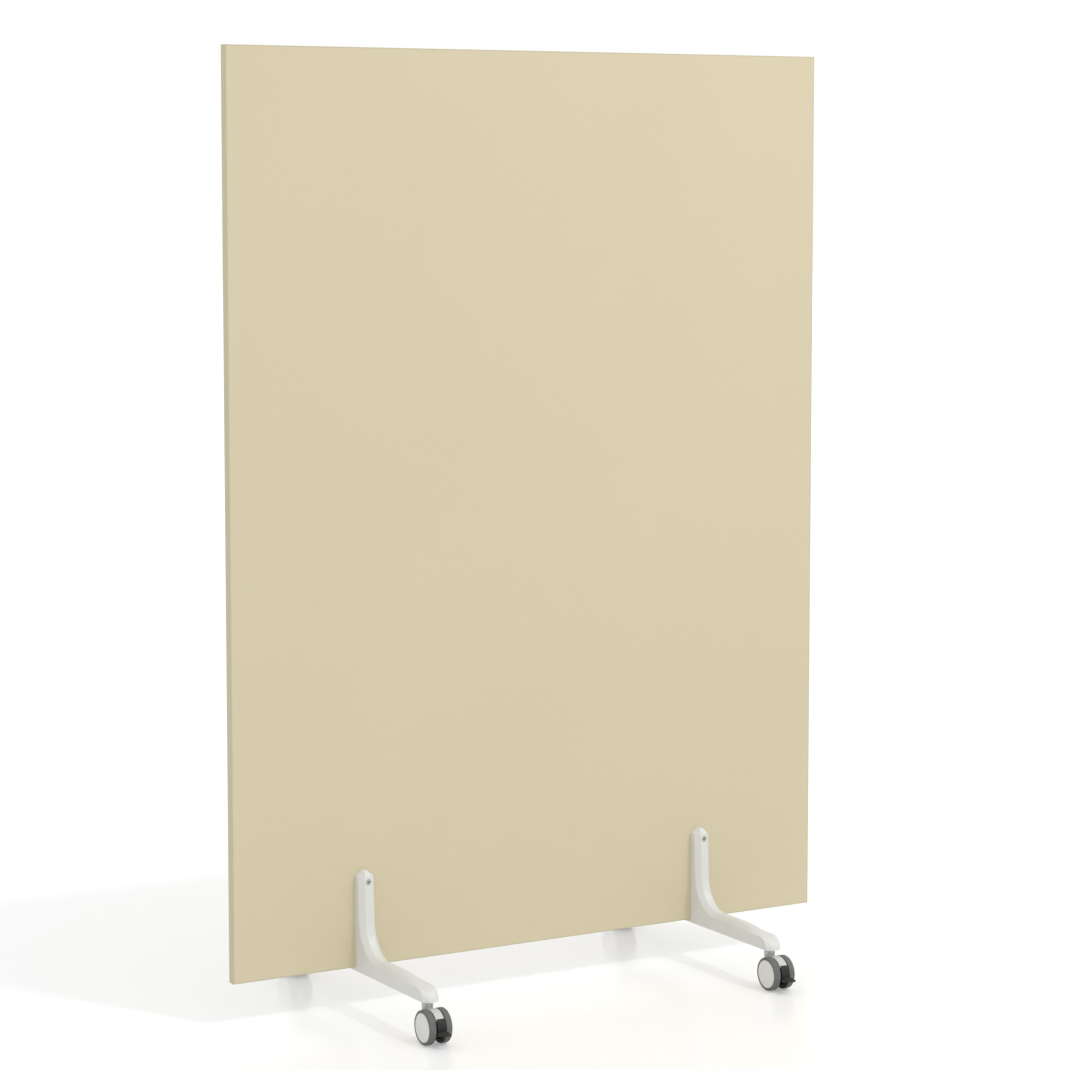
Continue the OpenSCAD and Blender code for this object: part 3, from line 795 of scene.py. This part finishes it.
WHEEL_R = axle[2]
WHEEL_IN = tyre_low.x - swivel[0]
WHEEL_OUT = tyre_high.x - swivel[0]
WHEEL_SEGMENTS = 128
TYRE_IN_R = WHEEL_R - 5 * MM
TYRE_CROWN = 0.12 * MM    # how much lower the tread's sides are than its middle
TYRE_SHOULDER_R = 3 * MM
TYRE_INNER_R = 1.2 * MM
LINE_TOP = 0.15 * MM      # half the width of the parting line
LINE_FOOT = 0.35 * MM     # and of its foot
BEAD_RISE = 0.2 * MM
BEAD_W = 0.6 * MM
BEAD_R = 0.5 * MM
FLANGE_T = 1.4 * MM
FLANGE_R = WHEEL_R - TYRE_INNER_R
RIM_IN_R = TYRE_IN_R - 2.5 * MM
FACE_X = WHEEL_OUT - 0.3 * MM
FACE_IN = FACE_X - 2.8 * MM
CAP_IN = FACE_X - 1.4 * MM
CAP_R = TYRE_IN_R - 0.1 * MM
CAP_EDGE_R = 0.45 * MM
DISH_DEPTH = 0.6 * MM
DISH_R = TYRE_IN_R - 2.5 * MM
DISH_SLOPE = 1.2 * MM
DISH_EDGE_R = 0.35 * MM
HUB_BOSS_R = 7 * MM
HUB_PLAY = 0.2 * MM
AXLE_R = 3 * MM
AXLE_BORE_R = AXLE_R + BORE_PLAY
HUB_RIBS = 6
HUB_RIB_H = 4 * MM
HUB_RIB_T = 1.6 * MM
HUB_RIB_EDGE_R = 0.25 * MM
HUB_RIB_IN = 0.6 * MM     # how far a rib reaches into the boss and the rim
HUB_RIB_UP = 0.5 * MM     # and into the face

# The hood, web, lips, pedal and cheeks start and end at degrees from the vertical, towards +Y.
BETWEEN_W = 2 * (WHEEL_IN - 0.5 * MM)
AXLE_BOSS_W = BETWEEN_W - 0.4 * MM
HOUSING_TOP = washer_low.z - 0.2 * MM
HOOD_R = WHEEL_R - 0.5 * MM
HOOD_T = 2.5 * MM
HOOD_START = -72
HOOD_END = 52
HOOD_CORNER_R = 2 * MM
WEB_T = 4.4 * MM
WEB_IN_R = 6 * MM
WEB_START = HOOD_START + 1
WEB_END = HOOD_END - 1
SOCKET_Z = WHEEL_R - 6 * MM
SWIVEL_SOCKET_R = BETWEEN_W / 2 - 2 * STEP
COLLAR_LOW = washer_high.z
COLLAR_R = 9.8 * MM
COLLAR_LOW_EDGE = 0.35 * MM
COLLAR_TOP_EDGE = 1.2 * MM
NECK_R = COLLAR_R - 0.3 * MM
NECK_Z = HOUSING_TOP - 7 * MM
NECK_FLARE = 8 * MM
NECK_CURVE_R = 6 * MM
WHEEL_SPACE_R = WHEEL_R + 0.5 * MM
PIN_R = 4 * MM
PIN_END_Z = SOCKET_Z + 0.8 * MM
PIN_EDGE_R = 0.1 * MM
CLIP_Z = SOCKET_Z + 2.8 * MM
CLIP_T = 1 * MM
CLIP_GROOVE_R = 3.3 * MM
CLIP_SPACE_R = 6.5 * MM
CLIP_SPACE_H = 4 * MM
STUD_TOP_Z = FOOT_Z + 15 * MM
WASHER_T = 0.8 * MM
WASHER_RIM_R = 0.15 * MM
LIP_T = 1.2 * MM
LIP_GAP = 0.3 * MM
LIP_START = HOOD_END - 2
LIP_END = HOOD_END + 9

PIVOT = Vector((17 * MM, 2 * MM))
PIVOT_PIN_R = 2 * MM
PIVOT_BOSS_R = 4.6 * MM
PIVOT_BORE_R = PIVOT_PIN_R + BORE_PLAY
PEDAL_R = WHEEL_R + MM
PEDAL_T = 2.4 * MM
PEDAL_START = HOOD_END + 2.5
PEDAL_END = 112
PEDAL_CORNER_R = 3 * MM
PEDAL_ARM_W = 2 * PIVOT_BOSS_R - 2 * MM
CHEEK_IN = WEB_T / 2 + 0.4 * MM
CHEEK_T = 3.4 * MM
CHEEK_OUT = CHEEK_IN + CHEEK_T
CHEEK_IN_R = 13 * MM
CHEEK_START = PEDAL_START + 1
CHEEK_END = PEDAL_END - 4
CHEEK_EDGE_R = 0.35 * MM
BRAKE_STUD_AT = Vector((13 * MM, 13 * MM))
BRAKE_STUD_R = 1.8 * MM
BRAKE_STUD_END = WHEEL_IN + 3 * MM
TREAD_T = 2.8 * MM
TREAD_ROOT = Vector((PEDAL_R - PEDAL_T / 2, -1.6 * MM))
TREAD_END = Vector((52.05 * MM, -4.4 * MM))
TREAD_CORNER_R = 3.5 * MM
TREAD_STATIONS = 8
TREAD_THINNING = 0.8      # share of a full round that the tread's end is thinned by
TREAD_ROUNDING = 0.7      # radius of its long edges, as a share of half its thickness
GRIPS = 3
GRIP_PITCH = 3 * MM
GRIP_R = 0.5 * MM
GRIP_W = BETWEEN_W - 3 * MM

ROUND_SEGMENTS = 48
GRIP_SEGMENTS = 24
SOCKET_SEGMENTS = 64
LINK_STEPS = 16
SECTOR_STEP = 4           # degrees
STRIP_STATIONS = 24
STRIP_EDGE_R = 0.5 * MM
CORNER_ANGLES = [math.radians(angle) for angle in (0, 20, 40, 60, 75)]


def corner_place(corner):
    """Where a caster stands, with its axle towards the near end of the foot's bar."""
    x, y, _ = JOINTS[f"{corner}_swivel"]["pos_m"]
    return Matrix.Translation((x, y, 0)) @ (HALF_TURN if y < 0 else Matrix())


def sector(inner, outer, start, end):
    """Outline in (y, z) of a ring sector between two angles from the vertical, towards +y."""
    steps = max(2, round(abs(end - start) / SECTOR_STEP))
    return (arc((0, 0), outer, 90 - start, 90 - end, steps)
            + arc((0, 0), inner, 90 - end, 90 - start, steps))


def link(start, end, width):
    """Outline in (y, z) of a bar with round ends between two points."""
    run = math.degrees(math.atan2(end.y - start.y, end.x - start.x))
    return (arc(start, width / 2, run + 270, run + 90, LINK_STEPS)
            + arc(end, width / 2, run + 90, run - 90, LINK_STEPS))


def corner_pull(distance, radius):
    """How far a rounded corner draws the side in at this distance from the end."""
    if distance >= radius:
        return 0.0
    return radius - math.sqrt(radius ** 2 - (radius - distance) ** 2)


def end_stations(length, start_r, end_r, middle):
    """Distances along a strip, close together where its corners are rounded."""
    start = [start_r * (1 - math.cos(a)) for a in CORNER_ANGLES] if start_r else [0]
    end = [length - end_r * (1 - math.cos(a)) for a in CORNER_ANGLES][::-1] if end_r else [length]
    first = start_r if start_r else length / middle
    last = length - end_r if end_r else length - length / middle
    return start + [first + (last - first) * k / middle for k in range(middle + 1)] + end


def strip(name, inner, outer, start, end, start_r=0.0, end_r=0.0):
    """Curved plate round the axle between two angles from the vertical, as wide as the space
    between the wheels, its corners rounded."""
    rings = []
    length = math.radians(end - start) * outer
    for along in end_stations(length, start_r, end_r, STRIP_STATIONS):
        pull = corner_pull(along, start_r) + corner_pull(length - along, end_r)
        half = BETWEEN_W / 2 - pull
        angle = math.radians(start) + along / outer
        section = rounded([(-half, inner, STRIP_EDGE_R), (half, inner, STRIP_EDGE_R),
                           (half, outer, STRIP_EDGE_R), (-half, outer, STRIP_EDGE_R)], steps=3)
        rings.append([(p.x, p.y * math.sin(angle), p.y * math.cos(angle)) for p in section])
    return loft(name, rings, STRIP_EDGE_R)


def bar_round(name, radius, low_x, high_x, at=(0, 0), edge=FINE_R, segments=ROUND_SEGMENTS):
    """Round bar along X with its rims rounded, standing at (y, z)."""
    outline = rounded([(low_x, 0, 0), (low_x, radius, edge), (high_x, radius, edge), (high_x, 0, 0)],
                      steps=3)
    obj = turned(name, outline, segments)
    obj.data.transform(Matrix.Translation((0, at[0], at[1])))
    return obj


def tyre():
    """Right tyre, its tread slightly crowned, with a fine parting line round its middle."""
    start = WHEEL_IN + FLANGE_T
    middle = (start + WHEEL_OUT) / 2
    side_r = WHEEL_R - TYRE_CROWN
    line_r = WHEEL_R - TYRE_CROWN / 3
    outline = rounded([
        (start, TYRE_IN_R, 0), (start, side_r, TYRE_INNER_R),
        (middle - LINE_FOOT, line_r, 0), (middle - LINE_TOP, WHEEL_R, 0),
        (middle + LINE_TOP, WHEEL_R, 0), (middle + LINE_FOOT, line_r, 0),
        (WHEEL_OUT, side_r, TYRE_SHOULDER_R), (WHEEL_OUT, TYRE_IN_R + BEAD_RISE, BEAD_R),
        (WHEEL_OUT - BEAD_W, TYRE_IN_R, 0)], steps=8)
    obj = turned("tyre", outline, WHEEL_SEGMENTS)
    obj.data.transform(AXLE_AT)
    return shade(obj)


def wheel_core():
    """Right wheel's body under its cap: a flanged rim for the tyre, a boss on the axle and ribs."""
    flange_x = WHEEL_IN + FLANGE_T
    boss_x = AXLE_BOSS_W / 2 + HUB_PLAY
    bore_x = FACE_IN - HUB_PLAY
    outline = rounded([
        (CAP_IN, 0, 0), (CAP_IN, TYRE_IN_R, 0), (flange_x, TYRE_IN_R, 0),
        (flange_x, FLANGE_R, CRISP_R), (WHEEL_IN, FLANGE_R, SOFT_R),
        (WHEEL_IN, RIM_IN_R, FINE_R), (FACE_IN, RIM_IN_R, SOFT_R),
        (FACE_IN, HUB_BOSS_R, SOFT_R), (boss_x, HUB_BOSS_R, LIGHT_R),
        (boss_x, AXLE_BORE_R, CRISP_R), (bore_x, AXLE_BORE_R, 0), (bore_x, 0, 0)], steps=5)
    obj = turned("core", outline)
    half, low, high = HUB_RIB_T / 2, HUB_BOSS_R - HUB_RIB_IN, RIM_IN_R + HUB_RIB_IN
    ribs = []
    for i in range(HUB_RIBS):
        rib = plate("rib", [(-half, low), (half, low), (half, high), (-half, high)],
                    FACE_IN - HUB_RIB_H, FACE_IN + HUB_RIB_UP, HUB_RIB_EDGE_R)
        rib.data.transform(Matrix.Rotation(2 * math.pi * i / HUB_RIBS, 4, "X"))
        ribs.append(rib)
    combine(obj, ribs, "UNION")
    obj.data.transform(AXLE_AT)
    return shade(obj)


def wheel_cap():
    """Plain cap that closes the right wheel, dished inside a raised rim."""
    outline = rounded([
        (FACE_X - DISH_DEPTH, 0, 0), (FACE_X - DISH_DEPTH, DISH_R - DISH_SLOPE, DISH_SLOPE),
        (FACE_X, DISH_R, DISH_EDGE_R), (FACE_X, CAP_R, CAP_EDGE_R),
        (CAP_IN, CAP_R, 0), (CAP_IN, 0, 0)], steps=6)
    obj = turned("cap", outline, WHEEL_SEGMENTS)
    obj.data.transform(AXLE_AT)
    return shade(obj)


def neck():
    """The housing's neck under the thrust washer, cut away round the two wheels."""
    obj = turned("neck", rounded([
        (NECK_Z - NECK_FLARE, 0, 0), (NECK_Z - NECK_FLARE, BETWEEN_W / 2, 0),
        (NECK_Z, NECK_R, NECK_CURVE_R), (HOUSING_TOP, NECK_R, FINE_R), (HOUSING_TOP, 0, 0)], steps=5),
        axis="Z")
    spaces = []
    for low_x, high_x in both_ways(BETWEEN_W / 2 - STEP, BETWEEN_W):
        space = bar_round("space", WHEEL_SPACE_R, low_x, high_x, edge=0, segments=WHEEL_SEGMENTS)
        space.data.transform(AXLE_AT)
        spaces.append(space)
    return combine(obj, spaces, "DIFFERENCE")


def housing_bores():
    """The swivel pin's bore with the clip's space under it, the axle's bore and the pedal pin's."""
    below, above = SOCKET_Z - OVERSHOOT, HOUSING_TOP + OVERSHOOT
    step_z = SOCKET_Z + CLIP_SPACE_H
    bore_r = PIN_R + BORE_PLAY
    bores = [turned("bore", [(below, 0), (below, CLIP_SPACE_R), (step_z, CLIP_SPACE_R),
                             (step_z, bore_r), (above, bore_r), (above, 0)],
                    segments=SOCKET_SEGMENTS, axis="Z")]
    for radius, at in ((AXLE_R, (0, 0)), (PIVOT_PIN_R, PIVOT)):
        bore = bar_round("bore", radius, -2 * BETWEEN_W, 2 * BETWEEN_W, at, edge=0)
        bore.data.transform(AXLE_AT)
        bores.append(bore)
    return bores


def housing():
    """Hood, web, axle boss, lips beside the pedal, swivel socket and neck, moulded as one."""
    body = strip("housing", HOOD_R - HOOD_T, HOOD_R, HOOD_START, HOOD_END, start_r=HOOD_CORNER_R)
    half = WEB_T / 2
    parts = [
        plate("web", sector(WEB_IN_R, HOOD_R - HOOD_T / 2, WEB_START, WEB_END),
              STEP - half, half - STEP, LIGHT_R),
        plate("arm", link(Vector((0, 0)), PIVOT, 2 * PIVOT_BOSS_R), -half, half, LIGHT_R),
        bar_round("boss", HUB_BOSS_R, -AXLE_BOSS_W / 2, AXLE_BOSS_W / 2),
    ]
    lip_r = PEDAL_R - PEDAL_T - LIP_GAP
    for low_x, high_x in both_ways(CHEEK_OUT + LIP_GAP, BETWEEN_W / 2 - STEP):
        lip = sector(lip_r - LIP_T, lip_r, LIP_START, LIP_END)
        parts.append(plate("lip", lip, low_x, high_x, CRISP_R))
    combine(body, parts, "UNION")
    body.data.transform(AXLE_AT)
    top = HOUSING_TOP - STEP
    socket = turned("socket", rounded([(SOCKET_Z, 0, 0), (SOCKET_Z, SWIVEL_SOCKET_R, EASED_R),
                                       (top, SWIVEL_SOCKET_R, EASED_R), (top, 0, 0)]),
                    segments=SOCKET_SEGMENTS, axis="Z")
    combine(body, [socket, neck()], "UNION")
    combine(body, housing_bores(), "DIFFERENCE")
    return shade(body)


def tread():
    """The pedal's tread with its rounded end and grip ribs."""
    run = TREAD_END - TREAD_ROOT
    slope = math.atan2(run.y, run.x)
    length = run.length + TREAD_T / 2
    rings = []
    for along in end_stations(length, 0, TREAD_CORNER_R, TREAD_STATIONS):
        half = BETWEEN_W / 2 - STEP - corner_pull(length - along, TREAD_CORNER_R)
        thick = TREAD_T / 2 - corner_pull(length - along, TREAD_T / 2) * TREAD_THINNING
        edge = TREAD_ROUNDING * thick
        section = rounded([(-half, -thick, edge), (half, -thick, edge),
                           (half, thick, edge), (-half, thick, edge)], steps=3)
        rings.append([(p.x, TREAD_ROOT.x + along * math.cos(slope) - p.y * math.sin(slope),
                       TREAD_ROOT.y + along * math.sin(slope) + p.y * math.cos(slope))
                      for p in section])
    obj = loft("tread", rings)
    up = TREAD_T / 2 * Vector((-math.sin(slope), math.cos(slope)))
    grips = []
    for i in range(1, GRIPS + 1):
        at = TREAD_END - i * GRIP_PITCH * Vector((math.cos(slope), math.sin(slope))) + up
        grips.append(bar_round("grip", GRIP_R, -GRIP_W / 2, GRIP_W / 2, at, LIGHT_R, GRIP_SEGMENTS))
    return combine(obj, grips, "UNION")


def pedal():
    """Brake pedal: a curved shell, a tread to step on, and cheeks that carry the brake studs."""
    body = strip("pedal", PEDAL_R - PEDAL_T, PEDAL_R, PEDAL_START, PEDAL_END,
                 start_r=PEDAL_CORNER_R, end_r=PEDAL_CORNER_R)
    parts = [tread()]
    cheeks = both_ways(CHEEK_IN, CHEEK_OUT)
    studs = both_ways(CHEEK_IN + 3 * STEP, BRAKE_STUD_END)
    for (low_x, high_x), (stud_low, stud_high) in zip(cheeks, studs):
        parts += [
            plate("cheek", sector(CHEEK_IN_R, PEDAL_R - PEDAL_T / 2, CHEEK_START, CHEEK_END),
                  low_x + STEP, high_x - STEP, CHEEK_EDGE_R),
            plate("arm", link(PIVOT, BRAKE_STUD_AT, PEDAL_ARM_W),
                  low_x + 2 * STEP, high_x - 2 * STEP, CHEEK_EDGE_R),
            bar_round("boss", PIVOT_BOSS_R, low_x, high_x, PIVOT),
            bar_round("stud", BRAKE_STUD_R, stud_low, stud_high, BRAKE_STUD_AT),
        ]
    combine(body, parts, "UNION")
    bore = bar_round("bore", PIVOT_BORE_R, -BETWEEN_W, BETWEEN_W, PIVOT, edge=0)
    combine(body, [bore], "DIFFERENCE")
    body.data.transform(AXLE_AT)
    return shade(body)


def stem():
    """Stud in the foot, collar below it and grooved swivel pin, turned from one bar."""
    groove_top = CLIP_Z + CLIP_T
    outline = rounded([
        (PIN_END_Z, 0, 0), (PIN_END_Z, PIN_R, LIGHT_R), (CLIP_Z, PIN_R, PIN_EDGE_R),
        (CLIP_Z, CLIP_GROOVE_R, 0), (groove_top, CLIP_GROOVE_R, 0), (groove_top, PIN_R, PIN_EDGE_R),
        (COLLAR_LOW, PIN_R, 0), (COLLAR_LOW, COLLAR_R, COLLAR_LOW_EDGE),
        (FOOT_Z, COLLAR_R, COLLAR_TOP_EDGE), (FOOT_Z, STUD_R, 0),
        (STUD_TOP_Z, STUD_R, SOFT_R), (STUD_TOP_Z, 0, 0)], steps=6)
    return shade(turned("stem", outline, axis="Z"))


def thrust_washer():
    low, high = COLLAR_LOW - WASHER_T, COLLAR_LOW
    outline = rounded([(low, PIN_R, PIN_EDGE_R), (low, NECK_R, WASHER_RIM_R),
                       (high, NECK_R, WASHER_RIM_R), (high, PIN_R, PIN_EDGE_R)], steps=3)
    return shade(turned("washer", outline, axis="Z"))


def make_casters():
    """Makes each caster piece once, and copies it to the four corners and the wheels' two sides."""
    masters = {"housing_moulding": (housing(), "caster_plastic", "caster", "housing"),
               "pedal_moulding": (pedal(), "pedal_plastic", "pedal", "brake_pedal"),
               "turned_stem": (stem(), "plated_steel", None, "stem"),
               "washer_ring": (thrust_washer(), "nylon", None, "thrust_washer")}
    wheel_parts = {"tyre_ring": (tyre(), "tyre_rubber", "tyre"),
                   "wheel_core": (wheel_core(), "pedal_plastic", "hub"),
                   "wheel_cap": (wheel_cap(), "hub_plastic", "hub")}
    to_other_side = AXLE_AT @ HALF_TURN @ AXLE_AT.inverted()
    for corner in CORNERS:
        place = corner_place(corner)
        for name, (master, slot, body, node) in masters.items():
            piece = copy_of(master, f"{corner}_{name}", place)
            finish_piece(piece, slot, f"{corner}_{body}" if body else "frame", f"{corner}_{node}")
        faces_rear = JOINTS[f"{corner}_swivel"]["pos_m"][1] > 0
        for side, sign in SIDES.items():
            turn = Matrix() if (sign > 0) == faces_rear else to_other_side
            for name, (master, slot, node) in wheel_parts.items():
                piece = copy_of(master, f"{corner}_{side}_{name}", place @ turn)
                finish_piece(piece, slot, f"{corner}_{side}_wheel", f"{corner}_{side}_{node}")
    for row in [*masters.values(), *wheel_parts.values()]:
        drop(row[0])


# ---------------------------------------------------------------- scene

make_studio()
dress_cad_nodes()
make_edge_bands()
make_feet()
make_bolts()
make_casters()
